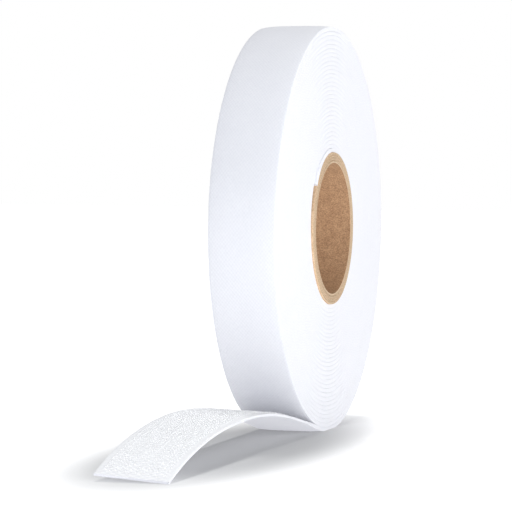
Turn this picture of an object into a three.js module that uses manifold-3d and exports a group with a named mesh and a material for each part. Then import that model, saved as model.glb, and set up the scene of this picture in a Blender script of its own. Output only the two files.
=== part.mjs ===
// A roll of white hook tape, standing on its rim with the free end led out along the bench.
// The woven tape is wound on a paper core with its hooks inwards, so the hooks show on the free end.
// Millimetres, +Z up. The roll's axis lies along Y and the free end leads towards -X.
// The origin is on the bench, under the axis and half way along it.
import * as THREE from "three";
import { mergeVertices } from "three/addons/utils/BufferGeometryUtils.js";
import Module from "manifold-3d";

const wasm = await Module();
wasm.setup();
const radians = THREE.MathUtils.degToRad;

// Paper core: plies glued one on another
const coreBore = 50; // inside diameter, which a spindle fits
const plyThickness = 0.92;
const glueLine = 0.1; // from one ply to the next
const plyNames = ["core_liner_ply", "core_second_ply", "core_third_ply", "core_wrap_ply"];
const coreOverhang = 0.75; // how far the core stands out of the winding on each side
const coreSides = 60;

// Tape: a woven ribbon with rows of hooks on its inner side
const tapeWidth = 25;
const ribbonThickness = 0.7;
const pileSeat = 0.06; // from the ribbon to the backing of the hooks
const pileBacking = 0.16; // the slice that carries the hook rows
const hookHeight = 0.6; // a hook row above that backing
const selvedge = 1.75; // bare edge beside the outermost row
const rowCount = 13;
const rowWidth = 0.7;

// Winding: one unbroken strip, clockwise and outwards as seen from the front, which is -Y
const wholeTurns = 23; // counted from the take-off back to the turn that holds the inner end
const turnGap = 0.45; // from one turn to the next
const stepsPerTurn = 36;
const startAngle = radians(140); // of the inner end
const takeOffAngle = radians(-100); // where the tape leaves the roll, 10 degrees past its foot
const firstClimb = 1 / 9; // share of the first turn that climbs over the inner end
const standFlat = 0.5; // depth of the flat that the roll's weight presses on its foot

// Strip of adhesive film that holds the inner end on the core
const filmThickness = 0.15;
const filmGap = 0.1; // to the core below and to the tape above
const filmWidth = 19;
const filmLength = 20;

// Free end: a low arch from the take-off over a crest to the bench
const crestAt = 103; // from the roll's axis, along the bench
const crestHeight = 12.8; // of the tape's lower side
const tailReach = 190; // from the roll's axis to the cut end
const endSlope = radians(17); // of the cut end, where it comes down on the bench
const liftHingeAt = 46; // along the tape from the take-off
const curlHingeAt = 122;
const hingeGap = 0.4; // between two stretches, so that they turn freely
const takeOffGap = 0.3; // between the winding and the free end
const stepLength = 9; // of the free end's facets

// Worked out from the sizes above
const plyPitch = plyThickness + glueLine;
const coreOuter = coreBore / 2 + plyNames.length * plyPitch - glueLine;
const coreLength = tapeWidth + 2 * coreOverhang;
const tapeThickness = ribbonThickness + pileSeat + pileBacking + hookHeight;
const turnPitch = tapeThickness + turnGap;
const firstRadius = coreOuter + filmThickness + 2 * filmGap; // inner side of the first turn
const stepAngle = (2 * Math.PI) / stepsPerTurn;
const totalTurns = wholeTurns + (startAngle - takeOffAngle) / (2 * Math.PI);

// How many turn pitches the strip has risen after so many turns. The first turn lies on the core until it
// climbs over the inner end, each later turn climbs over twice the share, and the rest climb steadily.
function risenPitches(turns) {
  const turn = Math.floor(turns + 1e-9);
  const climb = Math.min(1, firstClimb * 2 ** turn);
  return turn + Math.max(0, (turns - turn - (1 - climb)) / climb);
}

const innerRadius = (turns) => firstRadius + turnPitch * risenPitches(turns);
const outerRadius = (turns) => innerRadius(turns) + tapeThickness;

// The foot is where the outermost turn passes straight under the axis.
const footTurns = totalTurns - (radians(-90) - takeOffAngle) / (2 * Math.PI);
const axisHeight = outerRadius(footTurns) - standFlat;
const axis = new THREE.Vector2(0, axisHeight);

// A point of the side view, X and Z, at a radius and angle from the roll's axis.
function polar(radius, angle) {
  return new THREE.Vector2(Math.cos(angle), Math.sin(angle)).multiplyScalar(radius).add(axis);
}

// Solids and joints between them

// A closed geometry as a solid that can be joined and cut.
function solidOf(geometry) {
  const bare = geometry.clone();
  bare.deleteAttribute("normal");
  bare.deleteAttribute("uv");
  const merged = mergeVertices(bare, 1e-4);
  return new wasm.Manifold(
    new wasm.Mesh({
      numProp: 3,
      vertProperties: merged.attributes.position.array,
      triVerts: new Uint32Array(merged.index.array),
    }),
  );
}

function geometryOf(solid) {
  const mesh = solid.getMesh();
  const geometry = new THREE.BufferGeometry();
  geometry.setAttribute("position", new THREE.BufferAttribute(mesh.vertProperties, 3));
  geometry.setIndex(new THREE.BufferAttribute(mesh.triVerts, 1));
  return geometry;
}

// A side view outline, X and Z, made as wide as asked along Y and centred on middle.
function acrossTape(outline, width, middle = 0) {
  const geometry = new THREE.ExtrudeGeometry(new THREE.Shape(outline), {
    depth: width,
    bevelEnabled: false,
  });
  return geometry.rotateX(Math.PI / 2).translate(0, middle + width / 2, 0);
}

const kraftLiner = new THREE.MeshStandardMaterial({ color: 0xa97f57, roughness: 0.9, metalness: 0 });
const kraftBoard = new THREE.MeshStandardMaterial({ color: 0xcfa878, roughness: 0.9, metalness: 0 });
const whiteNylon = new THREE.MeshStandardMaterial({ color: 0xf2f2f6, roughness: 0.7, metalness: 0 });
const hookNylon = new THREE.MeshStandardMaterial({ color: 0xf6f6f8, roughness: 0.45, metalness: 0 });
const clearFilm = new THREE.MeshStandardMaterial({ color: 0xd9cfae, roughness: 0.35, metalness: 0 });

const roll = new THREE.Group();

function addPiece(name, geometry, material) {
  const mesh = new THREE.Mesh(geometry, material);
  mesh.name = name;
  roll.add(mesh);
}

// Paper core
plyNames.forEach((name, ply) => {
  const inside = coreBore / 2 + ply * plyPitch;
  const outside = inside + plyThickness;
  const half = coreLength / 2;
  const section = [
    new THREE.Vector2(inside, -half),
    new THREE.Vector2(outside, -half),
    new THREE.Vector2(outside, half),
    new THREE.Vector2(inside, half),
    new THREE.Vector2(inside, -half),
  ];
  const tube = new THREE.LatheGeometry(section, coreSides).translate(0, 0, axisHeight);
  addPiece(name, tube, ply === 0 ? kraftLiner : kraftBoard);
});

// Winding: every angle from the inner end to the take-off, one step apart
const windingTurns = [];
for (let step = 0; step / stepsPerTurn < totalTurns - 1e-6; step += 1) {
  windingTurns.push(step / stepsPerTurn);
}
windingTurns.push(totalTurns);
const angleAt = (turns) => startAngle - turns * 2 * Math.PI;
const innerSide = windingTurns.map((turns) => polar(innerRadius(turns), angleAt(turns)));
const outerSide = windingTurns.map((turns) => polar(outerRadius(turns), angleAt(turns)));

// The least gap from the outer side of a turn to the inner side of the next, point to chord.
function leastTurnGap() {
  let least = Infinity;
  const nearest = new THREE.Vector3();
  outerSide.forEach((point, step) => {
    for (let next = step + stepsPerTurn - 2; next <= step + stepsPerTurn + 1; next += 1) {
      if (next + 1 >= innerSide.length) continue;
      const [from, to] = [innerSide[next], innerSide[next + 1]];
      const chord = new THREE.Line3(new THREE.Vector3(from.x, from.y, 0), new THREE.Vector3(to.x, to.y, 0));
      const here = new THREE.Vector3(point.x, point.y, 0);
      least = Math.min(least, chord.closestPointToPoint(here, true, nearest).distanceTo(here));
    }
  });
  return least;
}
console.log(`tape winding: ${totalTurns.toFixed(2)} turns, least gap ${leastTurnGap().toFixed(3)} mm`);

const woundStrip = solidOf(acrossTape([...innerSide, ...outerSide.toReversed()], tapeWidth));
const bench = new THREE.BoxGeometry(axisHeight, 2 * tapeWidth, axisHeight).translate(0, 0, -axisHeight / 2);
addPiece("tape_winding", geometryOf(woundStrip.subtract(solidOf(bench))), whiteNylon);

// Adhesive film, from the inner end along the first turn
const filmInside = coreOuter + filmGap;
const filmSteps = Math.ceil(filmLength / (filmInside * stepAngle));
const filmAngles = Array.from(
  { length: filmSteps + 1 },
  (_, step) => startAngle - (step / filmSteps) * (filmLength / filmInside),
);
const filmOutline = [
  ...filmAngles.map((angle) => polar(filmInside, angle)),
  ...filmAngles.toReversed().map((angle) => polar(filmInside + filmThickness, angle)),
];
addPiece("inner_end_film", acrossTape(filmOutline, filmWidth), clearFilm);

// Free end: the path of the tape's lower side, tangent to the rim at the take-off
const takeOff = polar(outerRadius(totalTurns), takeOffAngle);
const takeOffWay = new THREE.Vector2(Math.sin(takeOffAngle), -Math.cos(takeOffAngle));
const crest = new THREE.Vector2(-crestAt, crestHeight);
const cutEnd = new THREE.Vector2(-tailReach, 0);
const endWay = new THREE.Vector2(-Math.cos(endSlope), -Math.sin(endSlope));
const along = new THREE.Vector2(-1, 0);

function archSpan(from, fromWay, to, toWay) {
  const handle = from.distanceTo(to) / 3;
  const leave = from.clone().addScaledVector(fromWay, handle);
  const arrive = to.clone().addScaledVector(toWay, -handle);
  return new THREE.CubicBezierCurve(from, leave, arrive, to);
}

const tailPath = new THREE.CurvePath();
tailPath.add(archSpan(takeOff, takeOffWay, crest, along));
tailPath.add(archSpan(crest, along, cutEnd, endWay));
const tailLength = tailPath.getLength();

// A point so far along the free end and so high above its lower side.
function tailPoint(distance, height) {
  const share = THREE.MathUtils.clamp(distance / tailLength, 0, 1);
  const way = tailPath.getTangent(share);
  return tailPath.getPoint(share).addScaledVector(new THREE.Vector2(way.y, -way.x), height);
}

// The side view of a layer of the free end, between two distances and two heights.
function tailLayer(from, to, low, high) {
  const steps = Math.max(2, Math.ceil((to - from) / stepLength));
  const distances = Array.from({ length: steps + 1 }, (_, step) => from + ((to - from) * step) / steps);
  return [
    ...distances.map((distance) => tailPoint(distance, low)),
    ...distances.toReversed().map((distance) => tailPoint(distance, high)),
  ];
}

// Hook rows on their backing slice, for one stretch of the free end.
function hookField(from, to) {
  const low = ribbonThickness + pileSeat;
  const rowsWidth = tapeWidth - 2 * selvedge;
  const rowPitch = rowsWidth / rowCount;
  let field = solidOf(acrossTape(tailLayer(from, to, low, low + pileBacking), rowsWidth));
  const rowOutline = tailLayer(from, to, low + pileBacking / 2, tapeThickness);
  for (let row = 0; row < rowCount; row += 1) {
    const middle = (row - (rowCount - 1) / 2) * rowPitch;
    field = field.add(solidOf(acrossTape(rowOutline, rowWidth, middle)));
  }
  return geometryOf(field);
}

const stretches = [
  { name: "tail_root", from: takeOffGap, to: liftHingeAt - hingeGap / 2 },
  { name: "tail_middle", from: liftHingeAt + hingeGap / 2, to: curlHingeAt - hingeGap / 2 },
  { name: "tail_tip", from: curlHingeAt + hingeGap / 2, to: tailLength },
];
for (const { name, from, to } of stretches) {
  addPiece(`${name}_ribbon`, acrossTape(tailLayer(from, to, 0, ribbonThickness), tapeWidth), whiteNylon);
  addPiece(`${name}_hooks`, hookField(from, to), hookNylon);
}

// The free end bends up at two lines across it, on the tips of its hooks.
for (const [name, distance] of [["lift", liftHingeAt], ["curl", curlHingeAt]]) {
  const pivot = tailPoint(distance, tapeThickness);
  console.log(`${name} line: x ${pivot.x.toFixed(2)}, z ${pivot.y.toFixed(2)}`);
}
console.log(`axis height ${axisHeight.toFixed(2)}, free end ${tailLength.toFixed(1)} mm long`);

export default roll;
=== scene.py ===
"""Dresses a roll of white woven hook tape on a paper core, with its free end led out along the bench.

The tape is one strip. Its outline is drawn flat, with Y across the tape and Z up from its woven back, and
each stretch sweeps that outline along its stations: round the core or along the free end.
"""

import logging
import math
import random
from collections.abc import Iterable
from dataclasses import dataclass, field, replace
from enum import Enum

import bmesh
import bpy
from mathutils import Matrix, Vector, noise
from mathutils.geometry import interpolate_bezier


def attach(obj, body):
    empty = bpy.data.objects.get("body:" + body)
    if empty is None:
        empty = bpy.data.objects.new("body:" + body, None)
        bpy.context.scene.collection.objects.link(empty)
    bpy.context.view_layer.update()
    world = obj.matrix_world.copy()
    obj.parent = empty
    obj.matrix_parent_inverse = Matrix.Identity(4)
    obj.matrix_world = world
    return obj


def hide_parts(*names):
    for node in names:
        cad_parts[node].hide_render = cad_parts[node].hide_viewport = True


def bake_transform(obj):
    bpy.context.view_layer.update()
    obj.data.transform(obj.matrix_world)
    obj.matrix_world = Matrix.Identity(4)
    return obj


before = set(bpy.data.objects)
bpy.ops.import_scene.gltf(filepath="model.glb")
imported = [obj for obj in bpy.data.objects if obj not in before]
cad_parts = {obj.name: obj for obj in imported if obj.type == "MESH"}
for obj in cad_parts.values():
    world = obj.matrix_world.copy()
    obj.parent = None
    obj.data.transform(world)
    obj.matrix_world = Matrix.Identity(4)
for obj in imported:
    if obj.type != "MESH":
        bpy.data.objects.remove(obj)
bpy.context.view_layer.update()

log = logging.getLogger("hook_tape_roll")
Colour = tuple[float, float, float]
Socket = bpy.types.NodeSocket

MM = 0.001
FULL_TURN = 2 * math.pi
# Makes up for rounding where a count reaches a whole number.
TINY = 1e-9
# Corners wider than this are points on a straight.
STRAIGHT = math.radians(170)
# Points closer than this are one.
SAME_PLACE = 0.001 * MM
# A face looks along an axis where its normal's part along that axis is larger than this.
FACING = 0.5
FLAT_MAP = "flat"


class Body(Enum):
    """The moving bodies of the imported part."""

    ROLL = "roll"
    TAIL_MIDDLE = "tail_middle"
    TAIL_TIP = "tail_tip"


class Slot(Enum):
    """The record's material slots for the pieces made here."""

    LINER = "core_liner"
    BOARD = "core_board"
    TAPE = "woven_tape"
    HOOKS = "hook_rows"


# Sizes


@dataclass(frozen=True)
class TapeSizes:
    """The tape's own sizes, in metres.

    Attributes:
        width: From edge to edge.
        ribbon: Thickness of the woven ribbon.
        thickness: Of ribbon and hooks together.
        selvedge: Width of the bare edge beside the hooks.
        rows: How many hook rows there are.
        rounding: Of the ribbon's edges.
        crown: How far the edges of a full roll's outer turn, with no hooks under them, sink.
        crown_power: How much of that comes close to the edges.
        lines: Where a strip's lengthwise lines lie, as shares of half its width.
        sharp: A strip's edges that turn more than this, in radians, stay sharp.
    """

    width: float = 25 * MM
    ribbon: float = 0.86 * MM
    thickness: float = 1.53 * MM
    selvedge: float = 1.75 * MM
    rows: int = 13
    rounding: float = 0.04 * MM
    crown: float = 0.5 * MM
    crown_power: int = 4
    lines: tuple[float, ...] = (1, 0.93, 0.83, 0.68, 0.36)
    sharp: float = math.radians(25)

    @property
    def row_pitch(self) -> float:
        """From one hook row to the next."""
        return (self.width - 2 * self.selvedge) / self.rows


@dataclass(frozen=True)
class TakeOff:
    """Where the tape leaves the roll.

    Attributes:
        radius: From the core's axis to the woven back there, in metres.
        angle: Round the axis, seen from the front, in radians.
    """

    radius: float = 77.97 * MM
    angle: float = math.radians(-104.5)

    @property
    def out(self) -> Vector:
        """The way out from the axis there, as X and Z."""
        return Vector((math.cos(self.angle), math.sin(self.angle)))


@dataclass(frozen=True)
class CoreSizes:
    """The paper core's sizes, in metres.

    Attributes:
        axis_height: Of the core's axis above the bench.
        bore: Inside radius.
        ply: Thickness of one ply.
        glue: Gap between two plies.
        half_length: From its middle to each end.
    """

    axis_height: float = 76.919 * MM
    bore: float = 25 * MM
    ply: float = 0.92 * MM
    glue: float = 0.1 * MM
    half_length: float = 13.25 * MM

    @property
    def axis(self) -> Vector:
        """The axis in the side view, as X and Z."""
        return Vector((0, self.axis_height))

    @property
    def ply_pitch(self) -> float:
        """From one ply to the next."""
        return self.ply + self.glue


# Finishes


class Recipe:
    """The nodes of a material or a world, put together one at a time."""

    def __init__(self, owner: bpy.types.Material | bpy.types.World) -> None:
        """Starts from the nodes that come with it.

        Args:
            owner: The material or the world.
        """
        owner.use_nodes = True
        self.tree = owner.node_tree

    @property
    def shader(self) -> bpy.types.Node:
        """A material's main shader."""
        return self.tree.nodes["Principled BSDF"]

    def feed(self, target: Socket, value: object) -> None:
        """Links a socket to another, or sets it to a plain value.

        Args:
            target: The input socket.
            value: An output socket, a number or a tuple.
        """
        if isinstance(value, Socket):
            self.tree.links.new(value, target)
        else:
            target.default_value = value

    def node(self, kind: str, *values: object, **settings: object) -> bpy.types.Node:
        """Adds a node.

        Args:
            kind: The node's type name.
            *values: What its first inputs get, in order: sockets or plain values.
            **settings: Properties to set on it.

        Returns:
            The new node.
        """
        made = self.tree.nodes.new(kind)
        for key, value in settings.items():
            setattr(made, key, value)
        for target, value in zip(made.inputs, values):
            self.feed(target, value)
        return made

    def math(self, operation: str, *values: object) -> Socket:
        """Adds a Math node.

        Args:
            operation: Blender's name of the operation.
            *values: Its inputs, sockets or numbers.

        Returns:
            Its result.
        """
        return self.node("ShaderNodeMath", *values, operation=operation).outputs[0]

    def graded(self, *values: object, kind: str = "LINEAR") -> Socket:
        """Turns a value from one range into one from another, and holds it at the ends.

        Args:
            *values: The value, the start and end of its range, and the results there.
            kind: Blender's name of the way between them.

        Returns:
            The result.
        """
        return self.node("ShaderNodeMapRange", *values, interpolation_type=kind).outputs["Result"]

    def own_place(self) -> Socket:
        """Reads where a point of the piece lies, in metres."""
        return self.node("ShaderNodeTexCoord").outputs["Object"]

    def flat_place(self) -> tuple[Socket, Socket, Socket]:
        """Reads where a point lies on the flat tape.

        Returns:
            Its place there, and that place's distance along the tape and around it, in metres.
        """
        place = self.node("ShaderNodeUVMap", uv_map=FLAT_MAP).outputs["UV"]
        split = self.node("ShaderNodeSeparateXYZ", place)
        return place, split.outputs["X"], split.outputs["Y"]

    def mapped(self, place: Socket, **settings: tuple[float, float, float]) -> Socket:
        """Moves or stretches coordinates.

        Args:
            place: The coordinates.
            **settings: The Mapping node's inputs, by name.

        Returns:
            The new coordinates.
        """
        made = self.node("ShaderNodeMapping", place)
        for name, value in settings.items():
            made.inputs[name].default_value = value
        return made.outputs["Vector"]

    def waves(self, place: Socket, pitch: float) -> Socket:
        """Makes a sine of a distance.

        Args:
            place: The distance, in metres.
            pitch: One wave's length, in metres.

        Returns:
            The sine, from -1 to 1.
        """
        return self.math("SINE", self.math("MULTIPLY", place, FULL_TURN / pitch))

    def speckle(self, place: Socket, scale: float, detail: float = 2.0) -> Socket:
        """Makes noise.

        Args:
            place: The coordinates to read.
            scale: Grains per metre.
            detail: How many finer layers it has.

        Returns:
            Noise around 0.5.
        """
        grain = self.node("ShaderNodeTexNoise", place)
        grain.inputs["Scale"].default_value = scale
        grain.inputs["Detail"].default_value = detail
        return grain.outputs["Fac"]

    def paint(self, tone: Socket, tones: Iterable[float], colours: Iterable[Colour]) -> None:
        """Colours the surface by a tone.

        Args:
            tone: A value from 0 to 1.
            tones: Places along that scale.
            colours: The colours there.
        """
        ramp = self.node("ShaderNodeValToRGB", tone)
        stops = ramp.color_ramp.elements
        for index, (place, colour) in enumerate(zip(tones, colours)):
            stop = stops[index] if index < len(stops) else stops.new(place)
            stop.position = place
            stop.color = (*colour, 1)
        self.feed(self.shader.inputs["Base Color"], ramp.outputs["Color"])

    def raise_surface(self, height: Socket, depth: float, strength: float) -> None:
        """Gives the shader a bump.

        Args:
            height: The relief, from 0 to 1.
            depth: How deep the relief is, in metres.
            strength: How strongly it shows.
        """
        bump = self.node("ShaderNodeBump")
        bump.inputs["Strength"].default_value = strength
        bump.inputs["Distance"].default_value = depth
        self.feed(bump.inputs["Height"], height)
        self.feed(self.shader.inputs["Normal"], bump.outputs["Normal"])

    def set_plain(self, **values: float) -> None:
        """Sets shader sockets to constants.

        Args:
            **values: Values by socket name, with _ for a space.
        """
        for name, value in values.items():
            self.shader.inputs[name.replace("_", " ")].default_value = value


@dataclass(frozen=True, kw_only=True)
class Finish:
    """A surface whose colour follows a pattern of tones, with a relief of its own.

    Attributes:
        name: The material's name.
        colours: Its colours, from low tones to high ones.
        tones: Where these lie on the scale of tones.
        depth: Depth of the relief, in metres.
        bump: How strongly the relief shows.
        roughness: How dull the surface is.
        specular: How much it mirrors.
        sheen: How much its fuzz catches the light.
    """

    name: str
    colours: tuple[Colour, ...]
    tones: tuple[float, ...]
    depth: float = 0.0
    bump: float = 0.0
    roughness: float
    specular: float
    sheen: float = 0.0

    def pattern(self, recipe: Recipe) -> tuple[Socket, Socket]:
        """Puts the pattern together.

        Args:
            recipe: The material's recipe.

        Returns:
            The tone and the relief.
        """
        raise NotImplementedError

    def material(self) -> bpy.types.Material:
        """Builds the material.

        Returns:
            The new material.
        """
        made = bpy.data.materials.new(self.name)
        recipe = Recipe(made)
        tone, relief = self.pattern(recipe)
        recipe.paint(tone, self.tones, self.colours)
        if self.bump:
            recipe.raise_surface(relief, self.depth, self.bump)
        recipe.set_plain(
            Roughness=self.roughness, Specular_IOR_Level=self.specular, Sheen_Weight=self.sheen
        )
        return made


@dataclass(frozen=True, kw_only=True)
class WovenNylon(Finish):
    """White woven tape: a fine plain weave of slightly uneven yarns, with painted shade between their
    crowns.

    Attributes:
        warp_pitch: From one lengthwise yarn to the next, in metres.
        weft_pitch: From one crosswise yarn to the next, in metres.
        yarn_grain: Uneven places per metre.
        cloud_grain: Paler and darker clouds per metre.
        crossing_painted_shade: How much painted shade the crossings lay in the low places between the
            yarns' crowns.
        yarn_share: How much uneven yarns change the tone and the relief.
        cloud_share: How much the clouds change the tone.
    """

    name: str = "woven_nylon"
    colours: tuple[Colour, ...] = ((0.82, 0.825, 0.88), (0.91, 0.915, 0.955))
    tones: tuple[float, ...] = (0.1, 0.7)
    depth: float = 0.06 * MM
    bump: float = 0.6
    roughness: float = 0.72
    specular: float = 0.3
    sheen: float = 0.12
    warp_pitch: float = 0.62 * MM
    weft_pitch: float = 0.80 * MM
    yarn_grain: float = 900
    cloud_grain: float = 120
    crossing_painted_shade: float = 0.3
    yarn_share: float = 0.5
    cloud_share: float = 0.2

    def pattern(self, recipe: Recipe) -> tuple[Socket, Socket]:
        """Weaves the yarns. See Finish.pattern."""
        place, along, around = recipe.flat_place()
        weave = recipe.math(
            "MULTIPLY",
            recipe.waves(along, 2 * self.weft_pitch),
            recipe.waves(around, 2 * self.warp_pitch),
        )
        # The weave runs from -1 to 1, and a crossing from 0 to 1.
        crossing = recipe.math("MULTIPLY_ADD", weave, 0.5, 0.5)
        uneven = recipe.speckle(place, self.yarn_grain, detail=3)
        relief = recipe.math("MULTIPLY_ADD", uneven, self.yarn_share, crossing)
        clouds = recipe.math("MULTIPLY", recipe.speckle(place, self.cloud_grain), self.cloud_share)
        grain = recipe.math("MULTIPLY_ADD", uneven, self.yarn_share, clouds)
        # The crossings lighten the yarns' crowns and darken the low places between them: painted shade.
        return recipe.math("MULTIPLY_ADD", crossing, self.crossing_painted_shade, grain), relief


@dataclass(frozen=True, kw_only=True)
class HookGround(Finish):
    """The weave between the hooks: a fine lattice beside the hooks' feet, the weave's pattern with painted
    shade in its low places.

    Attributes:
        tape: The tape's sizes.
        spacing: From one hook of a row to the next, in metres.
        start: Distance along the tape where the hooks start.
        yarn_grain: Uneven places per metre.
        lattice_painted_shade: How much painted shade the lattice lays in its low places.
    """

    tape: TapeSizes
    spacing: float
    start: float
    name: str = "hook_ground"
    colours: tuple[Colour, ...] = ((0.86, 0.86, 0.885), (0.985, 0.985, 0.985))
    tones: tuple[float, ...] = (0.15, 0.85)
    depth: float = 0.08 * MM
    bump: float = 0.5
    roughness: float = 0.7
    specular: float = 0.3
    sheen: float = 0.12
    yarn_grain: float = 900
    lattice_painted_shade: float = 0.4

    def pattern(self, recipe: Recipe) -> tuple[Socket, Socket]:
        """Sets the lattice between the feet. See Finish.pattern."""
        place, along, around = recipe.flat_place()
        tape = self.tape
        # Round the strip, the hook side's middle comes after the back, an edge and half the hook side.
        across = recipe.math("SUBTRACT", 1.5 * tape.width + tape.ribbon, around)
        rows = recipe.waves(recipe.math("ADD", across, tape.row_pitch / 2), 2 * tape.row_pitch)
        feet = recipe.waves(recipe.math("SUBTRACT", along, self.start), self.spacing)
        hooked = recipe.math("LESS_THAN", recipe.math("ABSOLUTE", across), tape.width / 2 - tape.selvedge)
        # The lattice follows the rows and the feet, darker in its low places: painted shade.
        lattice = recipe.math("MULTIPLY", recipe.math("MULTIPLY", rows, feet), hooked)
        uneven = recipe.speckle(place, self.yarn_grain, detail=3)
        tone = recipe.math("MULTIPLY_ADD", lattice, self.lattice_painted_shade, uneven)
        return tone, tone


@dataclass(frozen=True, kw_only=True)
class HookNylon(Finish):
    """Stiff white monofilament, a little glossier than the weave, with no relief.

    Attributes:
        grain: Duller and brighter places per metre.
    """

    name: str = "hook_nylon"
    colours: tuple[Colour, ...] = ((0.945, 0.945, 0.95), (0.975, 0.975, 0.98))
    tones: tuple[float, ...] = (0.3, 0.7)
    roughness: float = 0.42
    specular: float = 0.45
    grain: float = 700

    def pattern(self, recipe: Recipe) -> tuple[Socket, Socket]:
        """Tells duller hooks from brighter ones. See Finish.pattern."""
        tone = recipe.speckle(recipe.own_place(), self.grain, detail=1)
        return tone, tone


@dataclass(frozen=True, kw_only=True)
class KraftPaper(Finish):
    """Kraft paper with darker flecks and paler fibres.

    Attributes:
        fibre_grain: Fibres per metre.
        fibre_stretch: How the fibres' noise is scaled along X, Y and Z.
        fibre_share: How much of the tone the fibres make. Clouds make the rest.
        cloud_grain: Paler and darker clouds per metre.
    """

    tones: tuple[float, ...] = (0.36, 0.50, 0.66)
    depth: float = 0.05 * MM
    bump: float = 0.5
    roughness: float = 0.88
    specular: float = 0.25
    fibre_grain: float = 2300
    fibre_stretch: tuple[float, float, float] = (1.0, 0.75, 1.0)
    fibre_share: float = 0.75
    cloud_grain: float = 420

    def pattern(self, recipe: Recipe) -> tuple[Socket, Socket]:
        """Lays fibres over clouds. See Finish.pattern."""
        place = recipe.own_place()
        fibres = recipe.speckle(recipe.mapped(place, Scale=self.fibre_stretch), self.fibre_grain)
        clouds = recipe.math("MULTIPLY", recipe.speckle(place, self.cloud_grain), 1 - self.fibre_share)
        return recipe.math("MULTIPLY_ADD", fibres, self.fibre_share, clouds), fibres


@dataclass(frozen=True, kw_only=True)
class CutBoard(Finish):
    """The core's sawn end: thin paper layers round the axis, with a dark line between plies.

    Attributes:
        core: The core's sizes.
        layer_pitch: From one paper layer to the next, in metres.
        layer_share: How much the layers change the tone.
        line_share: How much the lines between plies darken it.
        line_power: How thin those lines are.
        pale_edge: Width of the paler edge beside the bore, in metres.
        edge_share: How much paler it is at the bore.
        fuzz_grain: Cut fibres per metre.
    """

    core: CoreSizes
    name: str = "cut_board"
    colours: tuple[Colour, ...] = ((0.42, 0.285, 0.175), (0.69, 0.53, 0.37))
    tones: tuple[float, ...] = (0.3, 0.62)
    depth: float = 0.06 * MM
    bump: float = 0.5
    roughness: float = 0.92
    specular: float = 0.2
    layer_pitch: float = 0.24 * MM
    layer_share: float = 0.12
    line_share: float = 0.3
    line_power: float = 5.0
    pale_edge: float = 0.4 * MM
    edge_share: float = 0.55
    fuzz_grain: float = 2200

    def pattern(self, recipe: Recipe) -> tuple[Socket, Socket]:
        """Draws the layers and the lines between plies. See Finish.pattern."""
        core = self.core
        place = recipe.own_place()
        centred = recipe.mapped(place, Location=(0, 0, -core.axis_height))
        split = recipe.node("ShaderNodeSeparateXYZ", centred)
        squares = [recipe.math("POWER", split.outputs[axis], 2.0) for axis in ("X", "Z")]
        radius = recipe.math("SQRT", recipe.math("ADD", *squares))
        layers = recipe.waves(radius, self.layer_pitch)
        fuzz = recipe.speckle(place, self.fuzz_grain, detail=3)
        tone = recipe.math("MULTIPLY_ADD", layers, self.layer_share, fuzz)
        # A sine's crest comes a quarter of its pitch after its start, and the lines lie in the glue.
        first_line = core.bore - core.glue / 2 - core.ply_pitch / 4
        lines = recipe.waves(recipe.math("SUBTRACT", radius, first_line), core.ply_pitch)
        lines = recipe.math("POWER", recipe.math("MAXIMUM", lines, 0.0), self.line_power)
        tone = recipe.math("MULTIPLY_ADD", lines, -self.line_share, tone)
        edge = recipe.graded(radius, core.bore, core.bore + self.pale_edge, self.edge_share, 0.0)
        tone = recipe.math("ADD", tone, edge)
        return tone, tone


@dataclass(frozen=True, kw_only=True)
class AdhesiveFilm(Finish):
    """Yellowish film with a smeared, slightly glossy adhesive, darker where it has gathered.

    Attributes:
        smear_grain: Smears per metre.
    """

    name: str = "adhesive_film"
    colours: tuple[Colour, ...] = ((0.72, 0.66, 0.48), (0.58, 0.48, 0.27))
    tones: tuple[float, ...] = (0.35, 0.65)
    depth: float = 0.02 * MM
    bump: float = 0.4
    roughness: float = 0.35
    specular: float = 0.5
    smear_grain: float = 420

    def pattern(self, recipe: Recipe) -> tuple[Socket, Socket]:
        """Smears the adhesive. See Finish.pattern."""
        smear = recipe.speckle(recipe.own_place(), self.smear_grain)
        return smear, smear


# Shared ways of making a piece


def mesh_from(form: bmesh.types.BMesh, name: str) -> bpy.types.Mesh:
    """Turns a form into a mesh.

    Args:
        form: The form. It is freed.
        name: The mesh's name.

    Returns:
        The new mesh.
    """
    mesh = bpy.data.meshes.new(name)
    form.to_mesh(mesh)
    form.free()
    return mesh


def add_object(name: str, data: bpy.types.ID) -> bpy.types.Object:
    """Adds an object to the scene, at the origin.

    Args:
        name: Its name.
        data: Its mesh, lamp or lens.

    Returns:
        The new object.
    """
    made = bpy.data.objects.new(name, data)
    bpy.context.scene.collection.objects.link(made)
    return made


def piece_from(
    form: bmesh.types.BMesh, name: str, finish: bpy.types.Material, sharp: float
) -> bpy.types.Object:
    """Turns a finished form into an object at the origin.

    Args:
        form: The form, in place. It is freed.
        name: The piece's name.
        finish: Its material.
        sharp: Edges that turn more than this, in radians, stay sharp.

    Returns:
        The new object.
    """
    bmesh.ops.recalc_face_normals(form, faces=form.faces)
    mesh = mesh_from(form, name)
    mesh.materials.append(finish)
    mesh.shade_smooth()
    mesh.set_sharp_from_angle(angle=sharp)
    log.info("made %s, %d faces", name, len(mesh.polygons))
    return add_object(name, mesh)


def part_faces(piece: bpy.types.Object, finish: bpy.types.Material, axis: int, both: bool) -> None:
    """Gives the faces that look along an axis a finish of their own.

    Args:
        piece: The piece.
        finish: Their finish.
        axis: The axis' number.
        both: Whether faces that look the other way get it too.
    """
    piece.data.materials.append(finish)
    for face in piece.data.polygons:
        along = face.normal[axis]
        face.material_index = int((abs(along) if both else along) > FACING)


def eased(share: float) -> float:
    """Eases a share in and out.

    Args:
        share: The share. It is held between 0 and 1.

    Returns:
        The eased share.
    """
    held = min(1.0, max(0.0, share))
    return held * held * (3 - 2 * held)


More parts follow.
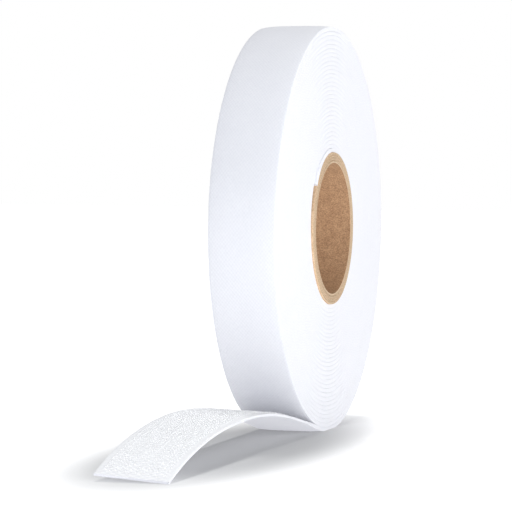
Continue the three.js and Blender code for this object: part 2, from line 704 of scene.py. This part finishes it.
def rounded_outline(corners: Iterable[Vector], rounding: float) -> list[Vector]:
    """Draws a closed outline with rounded corners.

    Args:
        corners: The outline's corners in order, and any points on the straights between them.
        rounding: How far each corner is cut back.

    Returns:
        The outline's points in order.
    """
    form = bmesh.new()
    face = form.faces.new([form.verts.new(corner) for corner in corners])
    bmesh.ops.bevel(
        form,
        geom=[loop.vert for loop in face.loops if loop.calc_angle() < STRAIGHT],
        offset=rounding,
        offset_type="OFFSET",
        affect="VERTICES",
        segments=2,
        profile=0.5,
        material=-1,
    )
    outline = [vert.co.copy() for vert in form.faces[:][0].verts]
    form.free()
    return outline


def swept_grid(steps: int, points: int) -> bmesh.types.BMesh:
    """Makes the sheet that an outline is swept into.

    Args:
        steps: How many steps the sweep has, along X.
        points: How many points the outline has, along Y.

    Returns:
        A grid whose X counts steps and whose Y counts points.
    """
    form = bmesh.new()
    place = Matrix.Translation((steps / 2, points / 2, 0)) @ Matrix.Diagonal((steps / 2, points / 2, 1, 1))
    bmesh.ops.create_grid(form, x_segments=steps, y_segments=points, size=1, matrix=place)
    return form


# The tape


@dataclass(frozen=True)
class Station:
    """A place along the tape, where its side view is known.

    Attributes:
        distance: Along the tape, in metres.
        back: The woven back's place, as X and Z.
        rise: The way from the back towards the hooks.
        shift: How far the tape has slid along the roll's axis.
        share: The part of the full thickness that is left here.
        twist: How far the tape is turned about its near edge, lifting the far one.
        sunk: How far its sides have sunk, as a share of the outer turn's.
        sunk_below: The same for the turn below, which its hook side lies on.
    """

    distance: float
    back: Vector
    rise: Vector
    shift: float = 0.0
    share: float = 1.0
    twist: float = 0.0
    sunk: float = 0.0
    sunk_below: float = 0.0

    def place(self, across: float, height: float, tape: TapeSizes) -> Vector:
        """Finds a point of the tape here.

        Args:
            across: From the tape's middle, towards its far edge.
            height: Above its woven back.
            tape: The tape's sizes.

        Returns:
            The point in the part's frame.
        """
        lean = math.sin(self.twist)
        half = tape.width / 2
        lifted = (across + half) * lean
        depth = tape.crown * abs(across / half) ** tape.crown_power
        sunk = self.sunk + (self.sunk_below - self.sunk) * height / tape.thickness
        side = self.back + self.rise * (height * self.share + lifted + sunk * depth)
        return Vector((side.x, across - height * lean + self.shift, max(side.y, 0.0)))


def strip_piece(
    name: str, stations: list[Station], tape: TapeSizes, height: float, finish: bpy.types.Material
) -> bpy.types.Object:
    """Makes a stretch of tape as one closed strip, laid along its stations.

    Args:
        name: The piece's name.
        stations: The stretch's places along the tape.
        tape: The tape's sizes.
        height: Thickness of this strip.
        finish: Its material.

    Returns:
        The new piece.
    """
    half = tape.width / 2
    sides = [half * share for share in tape.lines]
    across = [-place for place in sides] + sides[::-1]
    corners = [Vector((0, y, 0)) for y in across] + [Vector((0, y, height)) for y in across[::-1]]
    outline = rounded_outline(corners, tape.rounding)
    around = [0.0]
    for before, after in zip(outline, outline[1:] + outline[:1]):
        around.append(around[-1] + (after - before).length)
    form = swept_grid(len(stations) - 1, len(outline))
    flat_map = form.loops.layers.uv.new(FLAT_MAP)
    for face in form.faces:
        for corner in face.loops:
            step, point = round(corner.vert.co.x), round(corner.vert.co.y)
            corner[flat_map].uv = (stations[step].distance, around[point])
    for vert in form.verts:
        point = outline[round(vert.co.y) % len(outline)]
        vert.co = stations[round(vert.co.x)].place(point.y, point.z, tape)
    bmesh.ops.remove_doubles(form, verts=form.verts, dist=SAME_PLACE)
    bmesh.ops.holes_fill(form, edges=[edge for edge in form.edges if edge.is_boundary], sides=0)
    return piece_from(form, name, finish, tape.sharp)


@dataclass
class WoundTape:
    """The wound part of the tape, from its inner end to where it leaves the roll.

    Attributes:
        core: The core that it is wound on.
        tape: The tape's sizes.
        take_off: Where it leaves the roll.
        first_radius: Inner side of the first turn.
        whole_turns: Counted from the take-off back to the turn that holds the inner end.
        start_angle: Of the inner end, seen from the front.
        first_climb: Share of the first turn that climbs over the inner end.
        climb_growth: How much longer each turn's climb is than the last one's.
        facet_sag: How far a facet may cut into the curve.
        proud_end: How far the inner end stands out at the front.
        proud_turns: Turns over which it comes back into line.
        wander: How far the turns' edges stray from one plane.
        wander_rate: Steps in the noise that they follow, for each turn.
        wander_row: Which row of that noise it is.
    """

    core: CoreSizes
    tape: TapeSizes
    take_off: TakeOff
    first_radius: float = 29.08 * MM
    whole_turns: int = 29
    start_angle: float = math.radians(146)
    first_climb: float = 1 / 9
    climb_growth: float = 1.085
    facet_sag: float = 0.02 * MM
    proud_end: float = 0.9 * MM
    proud_turns: float = 0.4
    wander: float = 0.015 * MM
    wander_rate: float = 0.9
    wander_row: tuple[float, float] = (3.7, 0.2)

    @property
    def turns(self) -> float:
        """How many turns there are in all."""
        return self.whole_turns + (self.start_angle - self.take_off.angle) / FULL_TURN

    @property
    def pitch(self) -> float:
        """From one turn to the next."""
        return (self.take_off.radius - self.tape.thickness - self.first_radius) / self.turns

    def back_radius(self, turns: float) -> float:
        """Finds the radius of the woven back.

        Args:
            turns: How far along the winding, in turns.

        Returns:
            The radius in metres.
        """
        turn = math.floor(turns + TINY)
        climb = min(1.0, self.first_climb * self.climb_growth**turn)
        risen = turn + max(0.0, (turns - turn - (1 - climb)) / climb)
        return self.first_radius + self.pitch * risen + self.tape.thickness

    def station(self, turns: float, distance: float) -> Station:
        """Finds a place along the winding.

        Args:
            turns: How far along it, in turns.
            distance: How far along it, in metres.

        Returns:
            The station there.
        """
        angle = self.start_angle - FULL_TURN * turns
        out = Vector((math.cos(angle), math.sin(angle)))
        proud = -self.proud_end * max(0.0, 1 - turns / self.proud_turns) ** 2
        stray = self.wander * noise.noise(Vector((turns * self.wander_rate, *self.wander_row)))
        room = self.back_radius(turns) - self.back_radius(turns - 1) - self.pitch
        filled = 1 + room / self.tape.thickness if turns >= 1 else 1.0
        return Station(
            distance,
            self.core.axis + out * self.back_radius(turns),
            -out,
            proud + stray,
            filled,
            sunk=turns / self.turns,
            sunk_below=max(0.0, turns - 1) / self.turns,
        )

    def stations(self) -> list[Station]:
        """Steps along the winding.

        Returns:
            Its stations, from the inner end to the take-off.
        """
        places = [(0.0, 0.0)]
        while places[-1][0] < self.turns - TINY:
            turns, distance = places[-1]
            radius = self.back_radius(turns)
            # A chord over the angle a cuts a circle of radius r by r * a * a / 8.
            stride = min(math.sqrt(8 * self.facet_sag / radius) / FULL_TURN, self.turns - turns)
            places.append((turns + stride, distance + stride * FULL_TURN * radius))
        return [self.station(turns, distance) for turns, distance in places]

    def build(self, finish: bpy.types.Material) -> float:
        """Makes the winding and sets it on the roll.

        Args:
            finish: The woven finish.

        Returns:
            The wound length in metres.
        """
        stations = self.stations()
        length = stations[-1].distance
        piece = strip_piece("wound_tape", stations, self.tape, self.tape.thickness, finish)
        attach(piece, Body.ROLL.value)
        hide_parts("tape_winding")
        log.info("wound length %.2f m in %.2f turns, %.2f mm apart", length, self.turns, self.pitch / MM)
        return length


@dataclass
class FreeEnd:
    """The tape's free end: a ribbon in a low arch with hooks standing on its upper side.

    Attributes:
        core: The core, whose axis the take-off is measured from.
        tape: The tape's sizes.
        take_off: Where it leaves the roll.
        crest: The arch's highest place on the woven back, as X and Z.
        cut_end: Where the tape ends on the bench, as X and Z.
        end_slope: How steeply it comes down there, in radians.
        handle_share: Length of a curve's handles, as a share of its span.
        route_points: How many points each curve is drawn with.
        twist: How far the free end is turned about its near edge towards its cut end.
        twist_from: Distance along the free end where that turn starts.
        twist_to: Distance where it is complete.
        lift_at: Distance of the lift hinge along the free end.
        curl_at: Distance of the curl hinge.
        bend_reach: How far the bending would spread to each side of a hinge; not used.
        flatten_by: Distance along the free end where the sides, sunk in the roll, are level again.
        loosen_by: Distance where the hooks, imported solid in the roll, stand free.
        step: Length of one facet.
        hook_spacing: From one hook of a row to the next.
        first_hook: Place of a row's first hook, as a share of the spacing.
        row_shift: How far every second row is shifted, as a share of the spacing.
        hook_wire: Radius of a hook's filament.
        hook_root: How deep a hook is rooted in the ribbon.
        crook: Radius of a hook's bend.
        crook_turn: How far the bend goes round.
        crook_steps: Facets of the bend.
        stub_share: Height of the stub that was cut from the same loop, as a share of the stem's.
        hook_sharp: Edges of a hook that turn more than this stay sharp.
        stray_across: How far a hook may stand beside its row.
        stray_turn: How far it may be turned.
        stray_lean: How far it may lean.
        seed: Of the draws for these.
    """

    core: CoreSizes
    tape: TapeSizes
    take_off: TakeOff
    crest: Vector = field(default_factory=lambda: Vector((-103, 12.8)) * MM)
    cut_end: Vector = field(default_factory=lambda: Vector((-190, 0)) * MM)
    end_slope: float = math.radians(20)
    handle_share: float = 1 / 3
    route_points: int = 400
    twist: float = math.radians(4.3)
    twist_from: float = 24 * MM
    twist_to: float = 104 * MM
    lift_at: float = 39.9 * MM
    curl_at: float = 115.9 * MM
    bend_reach: float = 14 * MM
    flatten_by: float = 45 * MM
    loosen_by: float = 18 * MM
    step: float = 1.5 * MM
    hook_spacing: float = 2.1 * MM
    first_hook: float = 0.25
    row_shift: float = 0.5
    hook_wire: float = 0.11 * MM
    hook_root: float = 0.1 * MM
    crook: float = 0.27 * MM
    crook_turn: float = math.radians(205)
    crook_steps: int = 5
    stub_share: float = 0.7
    hook_sharp: float = math.radians(80)
    stray_across: float = 0.03 * MM
    stray_turn: float = 0.15
    stray_lean: float = 0.1
    seed: int = 11

    def route(self) -> list[Vector]:
        """Draws the woven back's side view.

        Returns:
            Points from the take-off to the cut end, as X and Z.
        """
        out = self.take_off.out
        root = self.core.axis + out * self.take_off.radius
        leave = Vector((out.y, -out.x))
        land = Vector((-math.cos(self.end_slope), -math.sin(self.end_slope)))
        level = Vector((-1, 0))
        points: list[Vector] = []
        for start, way, end, arrive in (
            (root, leave, self.crest, level),
            (self.crest, level, self.cut_end, land),
        ):
            reach = (end - start).length * self.handle_share
            handles = (start + way * reach, end - arrive * reach)
            span = interpolate_bezier(start, *handles, end, self.route_points)
            points += span if not points else span[1:]
        return points

    def stations(self, offset: float) -> list[Station]:
        """Steps along the free end at even distances.

        Args:
            offset: Length of tape before the take-off.

        Returns:
            The stations from the take-off to the cut end.
        """
        points = self.route()
        gone = [0.0]
        for before, after in zip(points, points[1:]):
            gone.append(gone[-1] + (after - before).length)
        count = round(gone[-1] / self.step)
        made: list[Station] = []
        index = 0
        for number in range(count + 1):
            distance = gone[-1] * number / count
            while index < len(points) - 2 and gone[index + 1] < distance:
                index += 1
            before, after = points[index], points[index + 1]
            way = (after - before).normalized()
            place = before + way * (distance - gone[index])
            turned = eased((distance - self.twist_from) / (self.twist_to - self.twist_from))
            sunk = max(0.0, 1 - distance / self.flatten_by) ** 2
            packed = max(0.0, 1 - distance / self.loosen_by)
            share = 1 + packed * (self.tape.thickness / self.tape.ribbon - 1)
            rise = Vector((way.y, -way.x))
            made.append(
                Station(
                    offset + distance,
                    place,
                    rise,
                    share=share,
                    twist=self.twist * turned,
                    sunk=sunk,
                    sunk_below=sunk,
                )
            )
        return made

    def filament(self, form: bmesh.types.BMesh, place: float, height: float) -> list[bmesh.types.BMEdge]:
        """Stands a square filament on the ribbon, rooted a little below its surface.

        Args:
            form: The hook's form.
            place: How far to the side it stands.
            height: How far it stands up.

        Returns:
            The edges round its top.
        """
        foot = Matrix.Translation((0, place, -self.hook_root))
        ring = bmesh.ops.create_circle(
            form, cap_ends=False, radius=self.hook_wire, segments=4, matrix=foot
        )["verts"]
        edges = [edge for edge in form.edges if edge.verts[0] in ring]
        raised = bmesh.ops.extrude_edge_only(form, edges=edges)["geom"]
        top = {item for item in raised if isinstance(item, bmesh.types.BMVert)}
        bmesh.ops.translate(form, verts=list(top), vec=(0, 0, height + self.hook_root))
        edges = [item for item in raised if isinstance(item, bmesh.types.BMEdge)]
        return [edge for edge in edges if top.issuperset(edge.verts)]

    def hook(self) -> bpy.types.Mesh:
        """Makes one cut loop of filament at the origin: a stem with its crook, and the stub beside it.

        Returns:
            Its mesh.
        """
        form = bmesh.new()
        stem = self.tape.thickness - self.tape.ribbon - self.crook - self.hook_wire
        bmesh.ops.spin(
            form,
            geom=self.filament(form, -self.crook, stem),
            cent=(0, 0, stem),
            axis=(1, 0, 0),
            angle=-self.crook_turn,
            steps=self.crook_steps,
        )
        self.filament(form, self.crook + 2 * self.hook_wire, stem * self.stub_share)
        bmesh.ops.holes_fill(form, edges=[edge for edge in form.edges if edge.is_boundary], sides=4)
        bmesh.ops.recalc_face_normals(form, faces=form.faces)
        return mesh_from(form, "one_hook")

    def stand_hooks(
        self,
        name: str,
        stations: list[Station],
        spacing: float,
        finish: bpy.types.Material,
        draws: random.Random,
    ) -> bpy.types.Object:
        """Stands rows of hooks on a stretch of the free end.

        Args:
            name: The piece's name.
            stations: The stretch.
            spacing: From one hook of a row to the next.
            finish: The hooks' material.
            draws: Source of the small differences between hooks.

        Returns:
            The new piece.
        """
        form = bmesh.new()
        pattern = self.hook()
        for row in range(self.tape.rows):
            filled = self.hook_row(row, pattern, stations, spacing, draws)
            form.from_mesh(filled)
            bpy.data.meshes.remove(filled)
        bpy.data.meshes.remove(pattern)
        return piece_from(form, name, finish, self.hook_sharp)

    def hook_row(
        self,
        row: int,
        pattern: bpy.types.Mesh,
        stations: list[Station],
        spacing: float,
        draws: random.Random,
    ) -> bpy.types.Mesh:
        """Stands one row of hooks along a stretch.

        Args:
            row: The row's number across the tape.
            pattern: One hook, standing at the origin.
            stations: The stretch.
            spacing: From one hook to the next.
            draws: Source of the small differences between hooks.

        Returns:
            The row's mesh.
        """
        form = bmesh.new()
        length = stations[-1].distance - stations[0].distance
        across = (row - (self.tape.rows - 1) / 2) * self.tape.row_pitch
        second = row % 2
        for number in range(int(length / spacing + TINY)):
            along = (number + self.first_hook + self.row_shift * second) * spacing
            stray = draws.uniform(-self.stray_across, self.stray_across)
            turned = math.pi * second + draws.uniform(-self.stray_turn, self.stray_turn)
            lean = draws.uniform(-self.stray_lean, self.stray_lean)
            old = len(form.verts)
            form.from_mesh(pattern)
            form.verts.ensure_lookup_table()
            stand = Matrix.Rotation(turned, 3, "Z") @ Matrix.Rotation(lean, 3, "X")
            self.plant(form.verts[old:], stand, along, across + stray, stations)
        return mesh_from(form, "one_row")

    def plant(
        self,
        verts: Iterable[bmesh.types.BMVert],
        stand: Matrix,
        along: float,
        across: float,
        stations: list[Station],
    ) -> None:
        """Moves one hook to its place on the ribbon.

        Args:
            verts: The hook's points, standing at the origin.
            stand: How it is turned.
            along: Its distance along the stretch.
            across: Its place across the tape.
            stations: The stretch.
        """
        step = stations[1].distance - stations[0].distance
        place = along / step
        index = min(int(place), len(stations) - 2)
        before, after = stations[index], stations[index + 1]
        here = replace(before, back=before.back.lerp(after.back, place - index), share=1.0)
        way = Vector((-before.rise.y, 0, before.rise.x))
        for vert in verts:
            local = stand @ vert.co
            foot = here.place(across + local.y, self.tape.ribbon + local.z, self.tape)
            vert.co = foot + way * local.x

    def build(self, offset: float, woven: bpy.types.Material, hooked: bpy.types.Material) -> None:
        """Makes the free end in two stretches, split halfway between the lift and curl hinges.

        Args:
            offset: Length of tape before the take-off.
            woven: The ribbon's finish on its woven back and its edges.
            hooked: The hooks' finish.
        """
        stations = self.stations(offset)
        draws = random.Random(self.seed)
        halfway = round((self.lift_at + self.curl_at) / 2 / self.step)
        near_length = stations[halfway].distance - offset
        spacing = near_length / round(near_length / self.hook_spacing)
        ground = HookGround(tape=self.tape, spacing=spacing, start=offset).material()
        stretches = (
            ("near", stations[: halfway + 1], self.lift_at, Body.ROLL, Body.TAIL_MIDDLE, "root"),
            ("far", stations[halfway:], self.curl_at, Body.TAIL_MIDDLE, Body.TAIL_TIP, "tip"),
        )
        for label, places, hinge, carrier, carried, end in stretches:
            nodes = ("middle", end) if label == "near" else (end,)
            ribbon = strip_piece(f"free_end_{label}_ribbon", places, self.tape, self.tape.ribbon, woven)
            part_faces(ribbon, ground, axis=2, both=False)
            hooks = self.stand_hooks(f"free_end_{label}_hooks", places, spacing, hooked, draws)
            for piece, slot, kind in ((ribbon, Slot.TAPE, "ribbon"), (hooks, Slot.HOOKS, "hooks")):
                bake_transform(piece)
                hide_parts(*(f"tail_{node}_{kind}" for node in nodes))


# The core


@dataclass
class PaperCore:
    """The paper tube: plies glued one on another, with the film that holds the tape's inner end.

    Attributes:
        sizes: The core's sizes.
        edge: How far the plies' cut edges are rounded.
        steps: Facets round a ply.
        sharp: Edges that turn more than this, in radians, stay sharp.
        plies: Names of the plies and the nodes that they stand for, from the inside out.
        liner_paper: The innermost ply's paper.
        board_paper: The other plies' paper.
    """

    sizes: CoreSizes
    edge: float = 0.14 * MM
    steps: int = 144
    sharp: float = math.radians(18)
    plies: tuple[tuple[str, str], ...] = (
        ("core_liner", "core_liner_ply"),
        ("core_second", "core_second_ply"),
        ("core_third", "core_third_ply"),
        ("core_wrapper", "core_wrap_ply"),
    )
    liner_paper: KraftPaper = KraftPaper(
        name="brown_kraft", colours=((0.355, 0.207, 0.117), (0.495, 0.298, 0.168), (0.635, 0.40, 0.236))
    )
    board_paper: KraftPaper = KraftPaper(
        name="tan_kraft", colours=((0.62, 0.42, 0.26), (0.77, 0.54, 0.345), (0.86, 0.64, 0.44))
    )

    def ply(self, index: int, finish: bpy.types.Material) -> bpy.types.Object:
        """Makes one ply.

        Args:
            index: Its number from the inside.
            finish: Its material.

        Returns:
            The new piece.
        """
        sizes = self.sizes
        inside = sizes.bore + index * sizes.ply_pitch
        outside = inside + sizes.ply
        form = bmesh.new()
        corners = [
            Vector((radius, side * sizes.half_length, sizes.axis_height))
            for radius, side in ((inside, -1), (outside, -1), (outside, 1), (inside, 1))
        ]
        ring = [form.verts.new(point) for point in rounded_outline(corners, self.edge)]
        section = [form.edges.new(ends) for ends in zip(ring, ring[1:] + ring[:1])]
        bmesh.ops.spin(
            form,
            geom=ring + section,
            cent=(0, 0, sizes.axis_height),
            axis=(0, 1, 0),
            angle=FULL_TURN,
            steps=self.steps,
            use_merge=True,
        )
        return piece_from(form, self.plies[index][0], finish, self.sharp)

    def build(self, film: bpy.types.Material) -> None:
        """Makes the plies and dresses the film.

        Args:
            film: The adhesive film's finish.
        """
        liner, board = self.liner_paper.material(), self.board_paper.material()
        cut = CutBoard(core=self.sizes).material()
        for index, (_, node) in enumerate(self.plies):
            piece = self.ply(index, liner if index == 0 else board)
            part_faces(piece, cut, axis=1, both=True)
            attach(piece, Body.ROLL.value)
            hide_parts(node)
        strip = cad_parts["inner_end_film"]
        strip.data.materials.clear()
        strip.data.materials.append(film)


# The studio


def seen_directly(recipe: Recipe) -> Socket:
    """Tells rays that show the surroundings as they are from those that only light.

    Args:
        recipe: The recipe to add to.

    Returns:
        1 for camera, glossy and transmission rays, and otherwise 0.
    """
    path = recipe.node("ShaderNodeLightPath")
    total = path.outputs["Is Camera Ray"]
    for name in ("Is Glossy Ray", "Is Transmission Ray"):
        total = recipe.math("MAXIMUM", total, path.outputs[name])
    return total


@dataclass(frozen=True)
class Viewpoint:
    """The camera at the photograph's angle.

    Attributes:
        eye: Its place, in metres.
        azimuth: Which way it looks, in radians.
        elevation: How far it looks down.
        roll: How far it leans.
        focal_pixels: Its focal length, in pixels of the photograph.
        frame_pixels: The photograph's width.
        film: Width of its film, in millimetres.
        nearest: Nearest distance that it shows, in metres.
        furthest: Furthest distance that it shows.
    """

    eye: tuple[float, float, float] = (-0.9603, -0.2752, 0.0978)
    azimuth: float = math.radians(-73.039)
    elevation: float = math.radians(1.826)
    roll: float = math.radians(0.51)
    focal_pixels: float = 2605.0
    frame_pixels: float = 512.0
    film: float = 36.0
    nearest: float = 0.05
    furthest: float = 50.0

    def set_up(self) -> None:
        """Makes the scene's camera."""
        lens = bpy.data.cameras.new("camera")
        lens.sensor_width = self.film
        lens.lens = self.focal_pixels / self.frame_pixels * self.film
        lens.clip_start = self.nearest
        lens.clip_end = self.furthest
        level = math.cos(self.elevation)
        back = Vector((
            math.sin(self.azimuth) * level,
            -math.cos(self.azimuth) * level,
            math.sin(self.elevation),
        ))
        right = (-back).cross(Vector((0, 0, 1))).normalized()
        up = right.cross(-back)
        turn = Matrix((right, up, back)).transposed() @ Matrix.Rotation(self.roll, 3, "Z")
        camera = add_object("camera", lens)
        camera.matrix_world = Matrix.Translation(self.eye) @ turn.to_4x4()
        bpy.context.scene.camera = camera


@dataclass(frozen=True)
class Lamp:
    """A soft square lamp that points at the roll.

    Attributes:
        name: Its name.
        place: Where it hangs, in metres.
        side: Its side, in metres.
        watts: Its power.
        colour: Its colour.
    """

    name: str
    place: tuple[float, float, float]
    side: float
    watts: float
    colour: Colour

    def hang(self, aim: Vector) -> None:
        """Adds the lamp.

        Args:
            aim: What it points at.
        """
        light = bpy.data.lights.new(self.name, "AREA")
        light.size = self.side
        light.energy = self.watts
        light.color = self.colour
        place = Vector(self.place)
        turn = (aim - place).to_track_quat("-Z", "Y").to_matrix().to_4x4()
        add_object(self.name, light).matrix_world = Matrix.Translation(place) @ turn


@dataclass(frozen=True)
class LightTable:
    """A pale table, lit from below, that keeps the roll's shadow, adds a painted shadow in grey beside the
    roll and turns white further out.

    Attributes:
        painted_shadow_grey: Its colour beside the roll, a painted shadow.
        far_grey: Its colour further out.
        glow: How much light it gives from below.
        far_lift: How much white it adds further out, where it is seen directly.
        half_side: Half its side, in metres.
        painted_shadow_middle: Middle of the painted shadow along X, in metres.
        painted_shadow_reach: How far the painted shadow reaches along X and along Y, in metres.
        fade: Where the painted shadow starts to turn white and where it is white, as shares of its reach.
    """

    painted_shadow_grey: float = 0.62
    far_grey: float = 0.90
    glow: float = 0.35
    far_lift: float = 0.75
    half_side: float = 6.0
    painted_shadow_middle: float = -0.08
    painted_shadow_reach: tuple[float, float] = (0.1, 0.031)
    fade: tuple[float, float] = (0.7, 2.0)

    def far_share(self, recipe: Recipe) -> Socket:
        """Tells the table's white part from the painted shadow beside the roll.

        Args:
            recipe: The table's material.

        Returns:
            0 beside the roll, rising to 1 further out.
        """
        along, across = self.painted_shadow_reach
        centred = recipe.mapped(
            recipe.own_place(),
            Location=(-self.painted_shadow_middle / along, 0, 0),
            Scale=(1 / along, 1 / across, 1),
        )
        away = recipe.node("ShaderNodeVectorMath", centred, operation="LENGTH").outputs["Value"]
        return recipe.graded(away, *self.fade, 0.0, 1.0, kind="SMOOTHSTEP")

    def material(self) -> bpy.types.Material:
        """Builds the table's material.

        Returns:
            The new material.
        """
        made = bpy.data.materials.new("pale_bench")
        recipe = Recipe(made)
        recipe.set_plain(Roughness=0.9, Specular_IOR_Level=0.0)
        far = self.far_share(recipe)
        # The grey beside the roll is a painted shadow, darker than the table further out.
        recipe.paint(far, (0.0, 1.0), ((self.painted_shadow_grey,) * 3, (self.far_grey,) * 3))
        lamp = recipe.node("ShaderNodeEmission")
        # Seen directly, the table gets white added further out but none beside the roll, which keeps the
        # painted shadow there.
        shown = recipe.math("MULTIPLY_ADD", far, self.far_lift, -self.glow)
        strength = recipe.math("MULTIPLY_ADD", seen_directly(recipe), shown, self.glow)
        recipe.feed(lamp.inputs["Strength"], strength)
        both = recipe.node("ShaderNodeAddShader", recipe.shader.outputs[0], lamp.outputs[0])
        recipe.feed(recipe.tree.nodes["Material Output"].inputs["Surface"], both.outputs[0])
        return made

    def lay(self) -> None:
        """Makes the table's top, level with the part's base."""
        form = bmesh.new()
        bmesh.ops.create_grid(form, x_segments=1, y_segments=1, size=self.half_side)
        mesh = mesh_from(form, "bench")
        mesh.materials.append(self.material())
        bench = add_object("bench", mesh)


@dataclass(frozen=True)
class Studio:
    """The room round the roll: a light table, even light from all sides, three lamps and the camera.

    Attributes:
        view: The camera.
        table: What the roll stands on.
        room_light: How much light the room gives from all sides.
        room_colour: That light's colour.
        aim: What the lamps point at, in metres.
        lamps: The lamps.
    """

    view: Viewpoint = Viewpoint()
    table: LightTable = LightTable()
    room_light: float = 0.335
    room_colour: Colour = (0.94, 0.965, 1.0)
    aim: tuple[float, float, float] = (-0.02, 0.0, 0.07)
    lamps: tuple[Lamp, ...] = (
        Lamp("key", place=(-0.40, -1.6, 0.30), side=0.9, watts=9.2, colour=(1.0, 0.985, 0.965)),
        Lamp("fill", place=(-0.60, -0.30, 0.15), side=0.2, watts=1.34, colour=(0.92, 0.955, 1.0)),
        Lamp("top", place=(1.24, 0.2, 4.4), side=1.0, watts=79.0, colour=(1.0, 1.0, 1.0)),
    )

    def light_room(self) -> None:
        """Lights the room evenly and shows it white."""
        world = bpy.data.worlds.new("room")
        recipe = Recipe(world)
        lit = recipe.tree.nodes["Background"]
        lit.inputs["Color"].default_value = (*self.room_colour, 1)
        lit.inputs["Strength"].default_value = self.room_light
        white = recipe.node("ShaderNodeBackground", (1, 1, 1, 1))
        mix = recipe.node("ShaderNodeMixShader", seen_directly(recipe), lit.outputs[0], white.outputs[0])
        recipe.feed(recipe.tree.nodes["World Output"].inputs["Surface"], mix.outputs[0])
        bpy.context.scene.world = world

    def build(self) -> None:
        """Sets up the camera, the table, the room and the lamps."""
        bpy.context.scene.view_settings.view_transform = "Standard"
        self.view.set_up()
        self.table.lay()
        self.light_room()
        for lamp in self.lamps:
            lamp.hang(Vector(self.aim))


def main() -> None:
    """Builds the studio, the core, the wound tape and its free end."""
    logging.basicConfig(level=logging.INFO)
    Studio().build()
    core, tape, take_off = CoreSizes(), TapeSizes(), TakeOff()
    woven = WovenNylon().material()
    PaperCore(core).build(AdhesiveFilm().material())
    wound = WoundTape(core, tape, take_off).build(woven)
    FreeEnd(core, tape, take_off).build(wound, woven, HookNylon().material())


if __name__ == "__main__":
    main()
